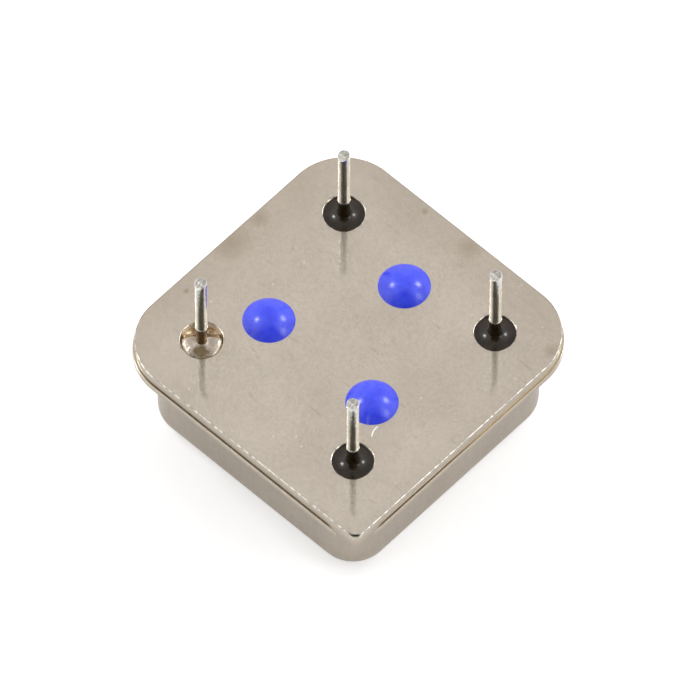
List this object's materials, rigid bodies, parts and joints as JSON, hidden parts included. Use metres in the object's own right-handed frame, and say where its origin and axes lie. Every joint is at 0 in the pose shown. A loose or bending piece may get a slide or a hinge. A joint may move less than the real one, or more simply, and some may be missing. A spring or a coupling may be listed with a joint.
{
  "type": "crystal oscillator",
  "caption": "Square welded metal can with glass-sealed wire pins, glass standoff domes and a sharp corner that marks the first pin; its quartz crystal clocks a circuit board.",
  "frame": {"origin": "middle of the lid's outer face, on which the part lies with its pins up", "axes": "+Z from the lid towards the tips of the pins; X and Y along the sides of the square header, whose sharp corner, at the first pin, points to +X -Y"},
  "size_m": [0.0126, 0.0126, 0.0088],
  "materials": {
    "nickel_steel_header": "satin nickel plate on stamped steel",
    "nickel_steel_cover": "satin nickel plate on drawn steel",
    "pin_alloy": "bright plated nickel-iron wire",
    "seal_glass": "black-brown fused sealing glass, opaque and glossy",
    "blue_glass": "deep blue glass, glossy and translucent",
    "braze_metal": "bright braze alloy",
    "alumina": "matt white sintered alumina",
    "epoxy": "amber bonding epoxy",
    "gold": "fired gold film and gold wire",
    "solder": "bright tin solder",
    "silicon": "polished silicon",
    "capacitor_ceramic": "fired barium titanate, matt tan",
    "tin_plate": "matt tin plate",
    "quartz": "lapped quartz, translucent",
    "silver_film": "vacuum-deposited silver",
    "clip_metal": "nickel strip, half bright",
    "silver_epoxy": "silver-filled epoxy, matt"
  },
  "bodies": {
    "root": {"header": "nickel_steel_header", "cover": "nickel_steel_cover", "seal_enable": "seal_glass", "seal_output": "seal_glass", "seal_supply": "seal_glass", "pin_enable": "pin_alloy", "pin_ground": "pin_alloy", "pin_output": "pin_alloy", "pin_supply": "pin_alloy", "ground_braze": "braze_metal", "standoff_rear": "blue_glass", "standoff_left": "blue_glass", "standoff_right": "blue_glass", "substrate": "alumina", "substrate_bond": "epoxy", "conductors": "gold", "solder_joints": "solder", "oscillator_chip": "silicon", "bond_wires": "gold", "bypass_capacitor": "capacitor_ceramic", "capacitor_ends": "tin_plate", "quartz_blank": "quartz", "electrode_header_side": "silver_film", "electrode_lid_side": "silver_film", "crystal_clip_left": "clip_metal", "crystal_clip_right": "clip_metal", "conductive_dabs": "silver_epoxy"}
  },
  "joints": []
}
